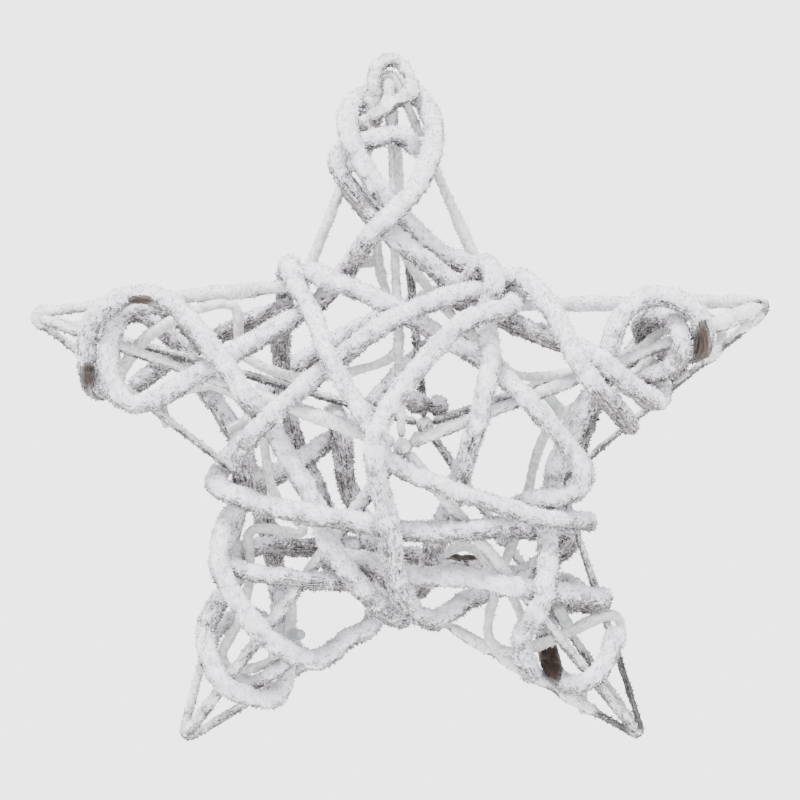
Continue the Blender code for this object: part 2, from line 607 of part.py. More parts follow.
def add_hub_knots(collection, material):
    for name, sign in (("front_hub", -1.0), ("back_hub", 1.0)):
        place = (HUB[0] - ORIGIN[0], sign * HUB_DEPTH, HUB[1] - ORIGIN[1])
        bpy.ops.mesh.primitive_uv_sphere_add(segments=12, ring_count=8, radius=HUB_KNOT_DIAMETER / 2.0,
                                             location=place)
        knot = bpy.context.object
        knot.name = name
        knot.data.materials.append(material)
        for owner in list(knot.users_collection):
            owner.objects.unlink(knot)
        collection.objects.link(knot)


def add_lights(collection, winding, material):
    for number, (base, way) in enumerate(place_lights(winding)):
        points = [base + way * LIGHT_LENGTH * share for share in (0.0, 0.12, 0.9, 1.0)]
        add_tube(collection, f"light_{number + 1:02d}", points, LIGHT_DIAMETER, material,
                 widths=(0.8, 1.0, 0.94, 0.78))


def main():
    clear_scene()
    collection = make_collection("led_star_light")
    strands = []
    outline = outline_points()
    for index in range(len(outline)):
        strands.append(fixed_strand("outline", outline[index - 1], outline[index], WIRE_DIAMETER))
    for name, (start, end) in wire_runs().items():
        strands.append(fixed_strand(name, start, end, WIRE_DIAMETER))
    for sign in (-1.0, 1.0):
        knot = np.array([HUB[0], sign * HUB_DEPTH, HUB[1]])
        reach = np.array([0.0, HUB_KNOT_DIAMETER * 0.01, 0.0])
        strands.append(fixed_strand("knot", knot - reach, knot + reach, HUB_KNOT_DIAMETER))
    for name, route in VINE_ROUTES.items():
        strands.append(loose_strand(name, route, VINE_DIAMETER))
    for name, route in THIN_VINE_ROUTES.items():
        strands.append(loose_strand(name, route, THIN_VINE_DIAMETER))
    strands.append(loose_strand("light_cable", CABLE_ROUTE, CABLE_DIAMETER, is_cable=True))
    final = settle_strands(strands)

    vine = make_material("flocked_vine", (0.62, 0.61, 0.64), 0.95)
    wire = make_material("flocked_wire", (0.50, 0.50, 0.52), 0.9)
    cable = make_material("cable_plastic", (0.55, 0.53, 0.50), 0.5)
    cap = make_material("clear_cap_plastic", (0.72, 0.74, 0.74), 0.3)
    add_tube(collection, "outline_wire", outline, WIRE_DIAMETER, wire, closed=True)
    for name, run in wire_runs().items():
        add_tube(collection, name, run, WIRE_DIAMETER, wire)
    add_hub_knots(collection, wire)
    for number, name in enumerate(final.names):
        if name in VINE_ROUTES:
            add_tube(collection, name, final.strand_points(number), VINE_DIAMETER, vine)
        elif name in THIN_VINE_ROUTES:
            add_tube(collection, name, final.strand_points(number), THIN_VINE_DIAMETER, vine)
        elif name == "light_cable":
            add_tube(collection, name, final.strand_points(number), CABLE_DIAMETER, cable)
    add_lights(collection, final, cap)


main()
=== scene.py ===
import math

import bmesh
import bpy
import numpy as np
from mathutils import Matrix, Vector


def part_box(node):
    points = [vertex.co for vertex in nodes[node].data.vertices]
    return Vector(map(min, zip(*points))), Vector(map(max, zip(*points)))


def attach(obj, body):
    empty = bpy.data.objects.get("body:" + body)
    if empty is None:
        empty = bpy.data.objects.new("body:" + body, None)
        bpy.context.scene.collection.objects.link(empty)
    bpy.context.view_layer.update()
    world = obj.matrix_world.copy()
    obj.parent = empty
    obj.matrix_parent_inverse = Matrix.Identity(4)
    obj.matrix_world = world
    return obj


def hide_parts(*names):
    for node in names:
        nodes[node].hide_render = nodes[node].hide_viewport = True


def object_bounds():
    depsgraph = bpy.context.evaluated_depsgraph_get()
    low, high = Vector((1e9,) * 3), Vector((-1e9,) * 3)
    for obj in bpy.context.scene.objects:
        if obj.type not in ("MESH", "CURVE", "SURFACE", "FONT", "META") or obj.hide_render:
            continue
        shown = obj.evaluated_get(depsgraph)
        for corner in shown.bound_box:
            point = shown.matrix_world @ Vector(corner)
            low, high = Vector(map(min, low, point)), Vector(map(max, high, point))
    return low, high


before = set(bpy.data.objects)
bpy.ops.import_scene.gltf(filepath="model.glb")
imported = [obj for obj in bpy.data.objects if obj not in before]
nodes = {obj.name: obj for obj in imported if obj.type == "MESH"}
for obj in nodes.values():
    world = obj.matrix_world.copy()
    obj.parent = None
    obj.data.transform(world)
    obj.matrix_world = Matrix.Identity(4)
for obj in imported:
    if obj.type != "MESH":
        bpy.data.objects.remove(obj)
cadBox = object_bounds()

starMiddle = Vector((0.0052, 0.0, -0.1498))

# The front view as in the photo: its side and the star's middle in pixels, its side in metres, and where the
# viewer stands, in degrees
pictureLook = {
    "side": 800,
    "middle": (402, 440),
    "width": 800 * 0.157 / 384,
    "azimuth": 6.0,
    "elevation": 5.5,
}
pixel = pictureLook["width"] / pictureLook["side"]

print("frame loaded:", len(nodes), "pieces of the star")


class Wire:
    # one socket of a node tree, so that node maths reads as a plain expression
    def __init__(self, tree, socket=None, node=None):
        self.tree = tree
        self.socket = socket
        self.node = node

    def add(self, kind, settings=None, inputs=None, out=0):
        node = self.tree.nodes.new(kind)
        for name, value in (settings or {}).items():
            setattr(node, name, value)
        for name, value in (inputs or {}).items():
            target = node.inputs[name]
            if isinstance(value, Wire):
                self.tree.links.new(value.socket, target)
            else:
                target.default_value = value
        return Wire(self.tree, node.outputs[out] if node.outputs else None, node)

    def pick(self, out):
        return Wire(self.tree, self.node.outputs[out], self.node)

    def maths(self, operation, *values, clamp=False):
        settings = {"operation": operation, "use_clamp": clamp}
        return self.add("ShaderNodeMath", settings, dict(enumerate(values)))

    def __add__(self, other):
        return self.maths("ADD", self, other)

    def __radd__(self, other):
        return self.maths("ADD", other, self)

    def __sub__(self, other):
        return self.maths("SUBTRACT", self, other)

    def __rsub__(self, other):
        return self.maths("SUBTRACT", other, self)

    def __mul__(self, other):
        return self.maths("MULTIPLY", self, other)

    def clamped(self):
        return self.maths("MULTIPLY", self, 1.0, clamp=True)

    def step(self, low, high):
        # a soft step from 0 at low to 1 at high
        return self.add("ShaderNodeMapRange", {"interpolation_type": "SMOOTHSTEP"},
                        {0: self, 1: low, 2: high, 3: 0.0, 4: 1.0})

    def along(self, direction):
        return self.add("ShaderNodeVectorMath", {"operation": "DOT_PRODUCT"},
                        {0: self, 1: direction}, out="Value")

    def blend(self, low, high):
        # a colour between low and high by this factor
        return self.add("ShaderNodeMix", {"data_type": "RGBA"}, {0: self, 6: low, 7: high}, out=2)


def newMaterial(name):
    material = bpy.data.materials.new(name)
    material.use_nodes = True
    shader = material.node_tree.nodes["Principled BSDF"]
    return material, Wire(material.node_tree), shader


def noise(graph, place, size, detail, roughness):
    return graph.add("ShaderNodeTexNoise", {},
                     {"Vector": place, "Scale": 1.0 / size, "Detail": detail, "Roughness": roughness})


def link(graph, wire, shader, name):
    graph.tree.links.new(wire.socket, shader.inputs[name])


# What the flock and the bark under it look like
flockLook = {
    # lit snow and snow in painted shade (the shade colour also tints the thin grey film of flock), then the
    # bark's darkest and lightest
    "colours": {
        "flockedVine": ((0.90, 0.865, 0.92, 1.0), (0.50, 0.475, 0.51, 1.0),
                        (0.028, 0.026, 0.025, 1.0), (0.33, 0.31, 0.30, 1.0)),
        "flockedWire": ((0.87, 0.85, 0.88, 1.0), (0.50, 0.49, 0.50, 1.0),
                        (0.022, 0.021, 0.021, 1.0), (0.16, 0.158, 0.155, 1.0)),
        "tipLumps": ((0.88, 0.86, 0.87, 1.0), (0.44, 0.42, 0.385, 1.0),
                     (0.030, 0.026, 0.022, 1.0), (0.18, 0.165, 0.145, 1.0)),
    },
    "bareDark": (0.010, 0.007, 0.006, 1.0),
    "bareLight": (0.085, 0.053, 0.037, 1.0),
    "sprayFrom": (0.02, -0.42, 0.91),
    "sprayBehind": (0.02, 0.44, 0.78),  # a lighter second coat, from behind
    "strandWidth": 0.0040,
    "speckAcross": 0.0012,
    "speckAlong": 0.0023,
    "streakAcross": 0.0005,
    "streakAlong": 0.0090,
    "clumpSize": 0.0070,
    "grainSize": 0.0010,
    # how much each pattern adds to the flock on a place
    "facingShare": 0.68,
    "clumpShare": 1.40,
    "speckShare": 1.80,
    "streakShare": 0.5,
    "grainShare": 0.5,
    "bareShare": 2.2,
    "tuftShare": 0.40,
    "less": 0.06,
    # how much each adds to the light and dark of the bark, to the painted shade of the snow, and to the
    # bumps
    "barkStreaks": 0.9,
    "barkGrains": 0.3,
    "hollowShade": 0.6,
    "toneClumps": 0.45,
    "toneGrains": 0.3,
    "toneTufts": 0.05,
    "bumpSnow": 0.5,
    "bumpGrains": 0.8,
    "bumpSpecks": 0.5,
    # where each soft step begins and ends
    "edge": (0.54, 0.84),
    "frostEdge": (0.30, 0.64),  # a thin grey film of flock, before it closes to snow
    "frost": 0.55,
    "barkEdge": (0.48, 0.74),
    "bareEdge": (0.35, 0.75),
    "toneEdge": (0.42, 0.84),
    "barkRoughness": 0.58,
    "snowRoughness": 0.32,  # more than the bark's
    "bareRoughness": 0.22,  # less than the bark's
    "bumpStrength": 0.6,
    "bumpDepth": 0.0006,
    "specular": 0.25,
}


def strandNoise(graph, roundPlace, along, across, lengthwise):
    # a pattern that lies on the strand: roundPlace is the place round it, along the place on its length
    scale = flockLook["strandWidth"] / across
    return graph.add("ShaderNodeTexNoise", {"noise_dimensions": "4D"},
                     {"Vector": roundPlace, "W": along * (1.0 / (lengthwise * scale)), "Scale": scale,
                      "Detail": 2.0, "Roughness": 0.65})


def flockMaterial(name, snowLight, snowShade, barkDark, barkLight):
    material, graph, shader = newMaterial(name)
    place = graph.add("ShaderNodeTexCoord", out="Object")
    stored = {kind: graph.add("ShaderNodeAttribute", {"attribute_name": kind}, out="Fac")
              for kind in ("cover", "bare", "tuft", "crust", "along")}
    outward, roundPlace = (graph.add("ShaderNodeAttribute", {"attribute_name": kind}, out="Vector")
                           for kind in ("outward", "round"))
    facing = graph.maths("MAXIMUM", outward.along(flockLook["sprayFrom"]),
                         outward.along(flockLook["sprayBehind"]))
    clumps = noise(graph, place, flockLook["clumpSize"], 3.0, 0.55)
    along = stored["along"]
    specks = strandNoise(graph, roundPlace, along, flockLook["speckAcross"], flockLook["speckAlong"])
    streaks = strandNoise(graph, roundPlace, along, flockLook["streakAcross"], flockLook["streakAlong"])
    grains = noise(graph, place, flockLook["grainSize"], 2.0, 0.6)
    bare = stored["bare"]
    amount = (stored["cover"] + facing * flockLook["facingShare"] + (clumps - 0.5) * flockLook["clumpShare"]
              + (specks - 0.5) * flockLook["speckShare"] + (streaks - 0.5) * flockLook["streakShare"]
              + (grains - 0.5) * flockLook["grainShare"] - bare * flockLook["bareShare"]
              + stored["tuft"] * flockLook["tuftShare"] - flockLook["less"])
    snow = amount.step(*flockLook["edge"])
    bark = streaks * flockLook["barkStreaks"] + grains * flockLook["barkGrains"]
    bark = bark.step(*flockLook["barkEdge"]).blend(barkDark, barkLight)
    frost = amount.step(*flockLook["frostEdge"])
    bark = (frost * flockLook["frost"]).blend(bark, snowShade)
    bareBark = streaks.step(*flockLook["bareEdge"]).blend(flockLook["bareDark"], flockLook["bareLight"])
    bark = bare.clamped().blend(bark, bareBark)
    # painted shade on the snow: blended from its shade colour to its lit colour, darkest in the crust's
    # hollows, mottled by the clumps and grains and lighter on the flecks
    tone = (stored["crust"] * flockLook["hollowShade"] + clumps * flockLook["toneClumps"]
            + grains * flockLook["toneGrains"] + stored["tuft"] * flockLook["toneTufts"])
    tone = tone.step(*flockLook["toneEdge"])
    link(graph, snow.blend(bark, tone.blend(snowShade, snowLight)), shader, "Base Color")
    barkRoughness = flockLook["barkRoughness"] - bare * flockLook["bareRoughness"]
    link(graph, snow * flockLook["snowRoughness"] + barkRoughness, shader, "Roughness")
    height = (snow * flockLook["bumpSnow"] + grains * flockLook["bumpGrains"]
              + specks * flockLook["bumpSpecks"])
    bump = graph.add("ShaderNodeBump", {}, {"Strength": flockLook["bumpStrength"],
                                            "Distance": flockLook["bumpDepth"], "Height": height})
    link(graph, bump, shader, "Normal")
    shader.inputs["Specular IOR Level"].default_value = flockLook["specular"]
    return material


vineMaterial, wireMaterial, tipMaterial = (flockMaterial(name, *colours)
                                           for name, colours in flockLook["colours"].items())

# The light string's cable, its milky caps and their collars: colour, colour where dusted, roughness, size of
# the dust's patches and where they begin
stringLook = {
    "plastics": {
        "cablePlastic": ((0.56, 0.545, 0.52, 1.0), (0.74, 0.73, 0.74, 1.0), 0.42, 0.0022, 0.47),
        "milkyCap": ((0.60, 0.62, 0.62, 1.0), (0.80, 0.80, 0.81, 1.0), 0.22, 0.0018, 0.66),
        "socketCollar": ((0.46, 0.47, 0.46, 1.0), (0.74, 0.73, 0.74, 1.0), 0.35, 0.0016, 0.60),
    },
    "dustEdge": 0.14,
    "dustFacing": 0.14,
    "dustRoughness": 0.45,  # more than the plastic's
    "bumpStrength": 0.5,
    "bumpDepth": 0.0003,
    "capClearness": 0.35,
    "capIor": 1.46,
}


def plasticMaterial(name, plain, dusted, roughness, dustSize, dustFrom):
    material, graph, shader = newMaterial(name)
    place = graph.add("ShaderNodeTexCoord", out="Object")
    facing = graph.add("ShaderNodeNewGeometry", out="Normal").along(flockLook["sprayFrom"])
    dust = noise(graph, place, dustSize, 3.0, 0.6) + facing * stringLook["dustFacing"]
    dust = dust.step(dustFrom, dustFrom + stringLook["dustEdge"])
    link(graph, dust.blend(plain, dusted), shader, "Base Color")
    link(graph, dust * stringLook["dustRoughness"] + roughness, shader, "Roughness")
    bump = graph.add("ShaderNodeBump", {}, {"Strength": stringLook["bumpStrength"],
                                            "Distance": stringLook["bumpDepth"], "Height": dust})
    link(graph, bump, shader, "Normal")
    return material


cableMaterial, capMaterial, collarMaterial = (plasticMaterial(name, *look)
                                              for name, look in stringLook["plastics"].items())
capShader = capMaterial.node_tree.nodes["Principled BSDF"]
capShader.inputs["Transmission Weight"].default_value = stringLook["capClearness"]
capShader.inputs["IOR"].default_value = stringLook["capIor"]
print("materials made")

# How each rod shifts its noise by its seed, what its crust rises and sinks from, and how its flecks stand
rodLook = {
    "seedShift": (0.37, 0.11),
    "crustMiddle": 0.47,
    "crustReach": 3.4,
    "fleckStray": 1.1,
    "smallestFleck": 0.45,
    "fleckFlatness": 0.7,
}


def flockedRodTree():
    # a crusted rod along a path, with flecks of flock that stand out of it
    tree = bpy.data.node_groups.new("flockedRod", "GeometryNodeTree")
    sizes = (("Rod Radius", 0.004), ("Step", 0.0008), ("Swell", 0.10), ("Swell Size", 0.012),
             ("Crust Height", 0.0006), ("Crust Size", 0.0018), ("Fleck Density", 400000.0),
             ("Fleck Length", 0.0012), ("Fleck Width", 0.0003))
    tree.interface.new_socket("Path", in_out="INPUT", socket_type="NodeSocketGeometry")
    for name, value in sizes:
        socket = tree.interface.new_socket(name, in_out="INPUT", socket_type="NodeSocketFloat")
        socket.default_value = value
    for name, value in (("Sides", 24), ("Seed", 1)):
        socket = tree.interface.new_socket(name, in_out="INPUT", socket_type="NodeSocketInt")
        socket.default_value = value
    tree.interface.new_socket("Finish", in_out="INPUT", socket_type="NodeSocketMaterial")
    tree.interface.new_socket("Rod", in_out="OUTPUT", socket_type="NodeSocketGeometry")
    graph = Wire(tree)
    given = graph.add("NodeGroupInput")
    place = graph.add("GeometryNodeInputPosition")
    seed = given.pick("Seed")
    across, along = rodLook["seedShift"]
    seedShift = graph.add("ShaderNodeCombineXYZ", {}, {0: seed * across, 1: seed * along})
    shifted = graph.add("ShaderNodeVectorMath", {"operation": "ADD"}, {0: place, 1: seedShift})

    def lumps(size, detail, roughness=0.5):
        scale = graph.maths("DIVIDE", 1.0, size)
        return graph.add("ShaderNodeTexNoise", {},
                         {"Vector": shifted, "Scale": scale, "Detail": detail, "Roughness": roughness})

    def keep(geometry, name, kind, value):
        return graph.add("GeometryNodeStoreNamedAttribute", {"data_type": kind, "domain": "POINT"},
                         {"Geometry": geometry, "Name": name, "Value": value})

    path = graph.add("GeometryNodeResampleCurve", {"mode": "LENGTH"},
                     {"Curve": given.pick("Path"), "Length": given.pick("Step")})
    width = graph.add("GeometryNodeInputRadius")
    swollen = width * (1.0 + (lumps(given.pick("Swell Size"), 2.0) - 0.5) * given.pick("Swell") * 2.0)
    path = graph.add("GeometryNodeSetCurveRadius", {}, {"Curve": path, "Radius": swollen})
    path = keep(path, "along", "FLOAT", graph.add("GeometryNodeSplineParameter", out="Length"))
    ring = graph.add("GeometryNodeCurvePrimitiveCircle", {},
                     {"Resolution": given.pick("Sides"), "Radius": given.pick("Rod Radius")})
    roundPlace = graph.add("ShaderNodeVectorMath", {"operation": "SCALE"},
                           {0: place, "Scale": graph.maths("DIVIDE", 1.0, given.pick("Rod Radius"))})
    ring = keep(ring, "round", "FLOAT_VECTOR", roundPlace)
    rod = graph.add("GeometryNodeCurveToMesh", {},
                    {"Curve": path, "Profile Curve": ring, "Scale": width, "Fill Caps": True})
    normal = graph.add("GeometryNodeInputNormal")
    rod = keep(rod, "outward", "FLOAT_VECTOR", normal)
    rough = lumps(given.pick("Crust Size"), 3.0, 0.65)
    rod = keep(rod, "crust", "FLOAT", rough)
    rise = graph.add("ShaderNodeVectorMath", {"operation": "SCALE"},
                     {0: normal, "Scale": (rough - rodLook["crustMiddle"]) * given.pick("Crust Height")
                      * rodLook["crustReach"]})
    rod = graph.add("GeometryNodeSetPosition", {}, {"Geometry": rod, "Offset": rise})

    points = graph.add("GeometryNodeDistributePointsOnFaces", {"distribute_method": "RANDOM"},
                       {"Mesh": rod, "Density": given.pick("Fleck Density"), "Seed": seed})
    stray = graph.add("FunctionNodeRandomValue", {"data_type": "FLOAT_VECTOR"},
                      {0: (-1.0, -1.0, -1.0), 1: (1.0, 1.0, 1.0), "Seed": seed})
    stray = graph.add("ShaderNodeVectorMath", {"operation": "SCALE"},
                      {0: stray, "Scale": rodLook["fleckStray"]})
    way = graph.add("ShaderNodeVectorMath", {"operation": "ADD"}, {0: points.pick("Normal"), 1: stray})
    turn = graph.add("FunctionNodeAlignRotationToVector", {"axis": "Z"}, {"Vector": way})
    share = graph.add("FunctionNodeRandomValue", {"data_type": "FLOAT"},
                      {2: rodLook["smallestFleck"], 3: 1.0, "Seed": seed}, out=1)
    long = share * share * share * given.pick("Fleck Length")
    wide = share * given.pick("Fleck Width")
    size = graph.add("ShaderNodeCombineXYZ", {}, {0: wide, 1: wide * rodLook["fleckFlatness"], 2: long})
    fleck = graph.add("GeometryNodeMeshCone", {"fill_type": "NGON"},
                      {"Vertices": 3, "Radius Top": 0.0, "Radius Bottom": 1.0, "Depth": 1.0})
    flecks = graph.add("GeometryNodeInstanceOnPoints", {},
                       {"Points": points, "Instance": fleck, "Rotation": turn, "Scale": size})
    flecks = graph.add("GeometryNodeRealizeInstances", {}, {"Geometry": flecks})
    flecks = keep(flecks, "tuft", "FLOAT", 1.0)
    joined = graph.add("GeometryNodeJoinGeometry")
    tree.links.new(flecks.socket, joined.node.inputs[0])
    tree.links.new(rod.socket, joined.node.inputs[0])
    whole = graph.add("GeometryNodeRealizeInstances", {}, {"Geometry": joined})
    whole = graph.add("GeometryNodeSetMaterial", {}, {"Geometry": whole, "Material": given.pick("Finish")})
    last = graph.add("NodeGroupOutput")
    tree.links.new(whole.socket, last.node.inputs[0])
    return tree


rodTree = flockedRodTree()
print("rod tree made")


def middleOf(corners):
    # added in the order of their numbers, so that every run rounds the same way
    ordered = sorted(corners, key=lambda corner: corner.index)
    return sum((corner.co for corner in ordered), Vector()) / len(ordered)


# How the CAD's tubes are read: corners nearer than weld count as one, and each ring has so many corners
tubeReading = {
    "weld": 1e-6,
    "ringCorners": 8,
    "flat": 0.99999,  # cosine between the faces of an end cap
    "round": 1.05,  # farthest corner of a cap to its nearest
    "flatBack": 1e-5,
    "fineSteps": 16,
    "fewest": 4,
}


def capRing(mesh):
    # the corners of an end cap: the flat round patch with as many corners as a ring has
    for face in mesh.faces:
        patch = {face}
        front = [face]
        while front:
            here = front.pop()
            for edge in here.edges:
                for other in edge.link_faces:
                    if other not in patch and other.normal.dot(face.normal) > tubeReading["flat"]:
                        patch.add(other)
                        front.append(other)
        corners = {corner for part in patch for corner in part.verts}
        if len(corners) == tubeReading["ringCorners"] and len(patch) == tubeReading["ringCorners"] - 2:
            middle = middleOf(corners)
            reaches = [(corner.co - middle).length for corner in corners]
            if max(reaches) < tubeReading["round"] * min(reaches):
                return corners
    return None


def weldedMesh(name):
    mesh = bmesh.new()
    mesh.from_mesh(nodes[name].data)
    bmesh.ops.remove_doubles(mesh, verts=mesh.verts, dist=tubeReading["weld"])
    mesh.verts.index_update()
    return mesh


def centreLine(name):
    # the middles of a tube's rings, read from its own solid
    mesh = weldedMesh(name)
    ring = capRing(mesh)
    seen = set(ring)
    line = [middleOf(ring)]
    while True:
        ring = {edge.other_vert(corner) for corner in ring for edge in corner.link_edges} - seen
        if not ring:
            break
        line.append(middleOf(ring))
        seen |= ring
    mesh.free()
    return line


def closedLine(name):
    # the outline wire lies flat, so the corners on its back line stand right behind its middles
    mesh = weldedMesh(name)
    far = max(corner.co.y for corner in mesh.verts)
    back = [corner for corner in mesh.verts if corner.co.y > far - tubeReading["flatBack"]]
    line = [back[0]]
    left = set(back[1:])
    while left:
        close = [edge.other_vert(line[-1]) for edge in line[-1].link_edges]
        nearby = [corner for corner in close if corner in left]
        if not nearby:
            break
        line.append(nearby[0])
        left.discard(nearby[0])
    points = [Vector((corner.co.x, 0.0, corner.co.z)) for corner in line]
    mesh.free()
    return points


def smoothLine(points, spacing, closed=False):
    # evenly spaced points on a smooth curve through the given ones
    ways = np.array([tuple(p) for p in points])
    if closed:
        padded = np.vstack([ways[-1], ways, ways[0], ways[1]])
    elif len(ways) == 2:
        count = max(tubeReading["fewest"], int(np.linalg.norm(ways[1] - ways[0]) / spacing))
        return [ways[0] + (ways[1] - ways[0]) * share for share in np.linspace(0.0, 1.0, count)]
    else:
        padded = np.vstack([2 * ways[0] - ways[1], ways, 2 * ways[-1] - ways[-2]])
    fine = []
    for index in range(1, len(padded) - 2):
        p0, p1, p2, p3 = padded[index - 1:index + 3]
        gaps = [max(np.linalg.norm(b - a), 1e-5) ** 0.5 for a, b in ((p0, p1), (p1, p2), (p2, p3))]
        t0, t1, t2, t3 = np.cumsum([0.0] + gaps)
        for t in np.linspace(t1, t2, tubeReading["fineSteps"], endpoint=False):
            a1 = (t1 - t) / (t1 - t0) * p0 + (t - t0) / (t1 - t0) * p1
            a2 = (t2 - t) / (t2 - t1) * p1 + (t - t1) / (t2 - t1) * p2
            a3 = (t3 - t) / (t3 - t2) * p2 + (t - t2) / (t3 - t2) * p3
            b1 = (t2 - t) / (t2 - t0) * a1 + (t - t0) / (t2 - t0) * a2
            b2 = (t3 - t) / (t3 - t1) * a2 + (t - t1) / (t3 - t1) * a3
            fine.append((t2 - t) / (t2 - t1) * b1 + (t - t1) / (t2 - t1) * b2)
    fine.append(padded[-2])
    fine = np.array(fine)
    lengths = np.concatenate([[0.0], np.cumsum(np.linalg.norm(np.diff(fine, axis=0), axis=1))])
    count = max(tubeReading["fewest"], int(lengths[-1] / spacing))
    stations = np.linspace(0.0, lengths[-1], count, endpoint=not closed)
    return [np.array([np.interp(s, lengths, fine[:, axis]) for axis in range(3)]) for s in stations]


def pathObject(name, points, widths, closed=False):
    curve = bpy.data.curves.new(name, "CURVE")
    curve.dimensions = "3D"
    spline = curve.splines.new("POLY")
    spline.points.add(len(points) - 1)
    for corner, point, width in zip(spline.points, points, widths):
        corner.co = (*point, 1.0)
        corner.radius = width
    spline.use_cyclic_u = closed
    path = bpy.data.objects.new(name, curve)
    bpy.context.scene.collection.objects.link(path)
    return path


def growRod(name, path, settings):
    # runs the rod tree on a path and turns the result into a plain mesh
    modifier = path.modifiers.new("flock", "NODES")
    modifier.node_group = rodTree
    for item in rodTree.interface.items_tree:
        if item.in_out == "INPUT" and item.name in settings:
            modifier[item.identifier] = settings[item.name]
    graph = bpy.context.evaluated_depsgraph_get()
    mesh = bpy.data.meshes.new_from_object(path.evaluated_get(graph), preserve_all_data_layers=True,
                                           depsgraph=graph)
    mesh.name = name
    piece = bpy.data.objects.new(name, mesh)
    bpy.context.scene.collection.objects.link(piece)
    bpy.data.objects.remove(path)
    mesh.shade_smooth()
    return piece


# Bare bark, where the flock has come off: strand, then middle and reach across and down in pixels of the
# front view
barePatches = [
    ("vine_stem", 701, 352, 9, 34), ("vine_toe", 547, 662, 18, 30), ("vine_band", 464, 557, 24, 4),
    ("vine_long", 88, 376, 8, 14), ("vine_turn", 552, 540, 10, 20), ("vine_long", 142, 301, 13, 6),
    ("vine_ring", 645, 322, 22, 24),
]

# Where the flock lies thicker or thinner than elsewhere: strand, middle and reach in pixels of the front
# view, thickness there as a share, and the flock added or taken
snowLumps = [
    ("outline_wire", 38, 318, 14, 1.7, 0.6), ("outline_wire", 186, 738, 14, 0.95, 0.0),
    ("outline_wire", 636, 738, 10, 1.2, 0.2), ("outline_wire", 712, 300, 30, 1.25, 0.2),
    ("outline_wire", 712, 356, 12, 1.7, 0.5),
    ("outline_wire", 468, 245, 45, 1.4, 0.4), ("outline_wire", 318, 245, 45, 1.1, 0.2),
    ("outline_wire", 250, 296, 55, 1.25, 0.1), ("outline_wire", 770, 300, 20, 0.75, -0.9),
    ("front_wire_top", 393, 180, 60, 0.65, 0.0), ("back_wire_top", 400, 180, 70, 0.6, 0.0),
    ("tip_winding", 390, 88, 8, 1.0, -0.9), ("tip_winding", 400, 110, 9, 1.0, -0.6),
    ("vine_band", 305, 553, 42, 1.0, -0.35), ("vine_foot", 262, 556, 26, 1.0, -0.3),
    ("vine_foot", 211, 614, 26, 1.0, -0.35),
    ("vine_post", 367, 563, 26, 1.0, -0.3), ("vine_band", 380, 563, 26, 1.0, -0.3),
    ("outline_wire", 522, 672, 32, 1.5, 0.6), ("outline_wire", 578, 702, 24, 1.5, 0.5),
    ("outline_wire", 470, 642, 26, 1.4, 0.5), ("outline_wire", 627, 690, 46, 0.85, -0.9),
    ("outline_wire", 600, 312, 40, 1.3, 0.3), ("outline_wire", 205, 295, 60, 1.3, 0.3),
    ("vine_stem", 530, 640, 50, 1.0, 0.3), ("vine_toe", 560, 618, 24, 1.0, 0.25),
    ("hub_tie", 417, 406, 12, 1.5, 0.0), ("hub_tie", 441, 404, 12, 1.5, 0.0),
    ("hub_tie", 429, 405, 5, 0.7, -0.3),
    ("vine_slope", 292, 272, 26, 1.2, 0.2), ("vine_ring", 312, 272, 30, 1.15, 0.1),
    ("front_wire_right", 730, 315, 28, 1.5, 0.3), ("front_wire_left", 345, 420, 60, 1.3, 0.2),
    ("vine_cross", 530, 332, 45, 1.0, -0.55), ("vine_belt", 470, 526, 75, 1.0, -0.12),
    ("vine_low", 460, 600, 90, 1.0, 0.16),
    ("vine_stem", 546, 560, 60, 1.0, -0.18), ("vine_cross", 470, 270, 50, 1.0, -0.15),
    ("front_wire_top", 393, 88, 40, 1.3, 0.4), ("vine_cross", 421, 148, 16, 1.0, 0.6),
    ("vine_cross", 364, 198, 42, 0.95, -0.5), ("vine_wide", 270, 620, 90, 1.0, 0.12),
    ("vine_ring", 565, 345, 60, 1.0, -0.10),
    ("vine_stem", 560, 345, 60, 1.0, -0.10), ("vine_bow", 560, 345, 60, 1.0, -0.10),
    ("front_wire_left", 300, 440, 110, 1.2, 0.3), ("front_wire_lower_right", 460, 520, 90, 1.2, 0.3),
    ("vine_wide", 622, 415, 42, 1.0, -0.18), ("vine_turn", 587, 428, 32, 1.0, -0.4),
    ("vine_foot", 262, 692, 60, 1.0, 0.2),
    ("light_cable", 140, 350, 60, 1.25, 0.0), ("light_cable", 570, 630, 55, 1.15, 0.0),
]


def pictureBasis():
    # from the star to the viewer, right and up in the front view, and the turn that looks that way
    azimuth, elevation = math.radians(pictureLook["azimuth"]), math.radians(pictureLook["elevation"])
    away = Vector((math.sin(azimuth) * math.cos(elevation), -math.cos(azimuth) * math.cos(elevation),
                   math.sin(elevation)))
    turn = away.to_track_quat("Z", "Y")
    return away, turn @ Vector((1, 0, 0)), turn @ Vector((0, 1, 0)), turn


def pictureShare(places, x, y, reach):
    # 1 at a place of the front view, falling to 0 at its reach
    _, right, up, _ = pictureBasis()
    middle = pictureLook["middle"]
    across = middle[0] + (places - np.array(starMiddle)) @ np.array(right) / pixel
    down = middle[1] - (places - np.array(starMiddle)) @ np.array(up) / pixel
    across, down = (across - x) / reach[0], (down - y) / reach[1]
    return np.clip((1.0 - np.hypot(across, down)) * 3.0, 0.0, 1.0)


def lumpedWidths(node, line, widths):
    widths = np.array(widths)
    for strand, x, y, reach, thickness, _ in snowLumps:
        if strand == node:
            widths = widths * (1.0 + (thickness - 1.0) * pictureShare(np.array(line), x, y, (reach, reach)))
    return widths


def outlineStretch(x, z):
    # which of the ten straight stretches of the outline a place is on, clockwise from the top tip
    turn = math.degrees(math.atan2(x - starMiddle.x, z - starMiddle.z)) % 360
    return min(9, int(turn / 36))


# How much flock lies on a strand: most in front, less behind, none where it is bare
coverLook = {
    "frontPlace": 0.018,
    "frontReach": 0.050,
    "frontShare": 0.30,
    "barest": 0.25,
}


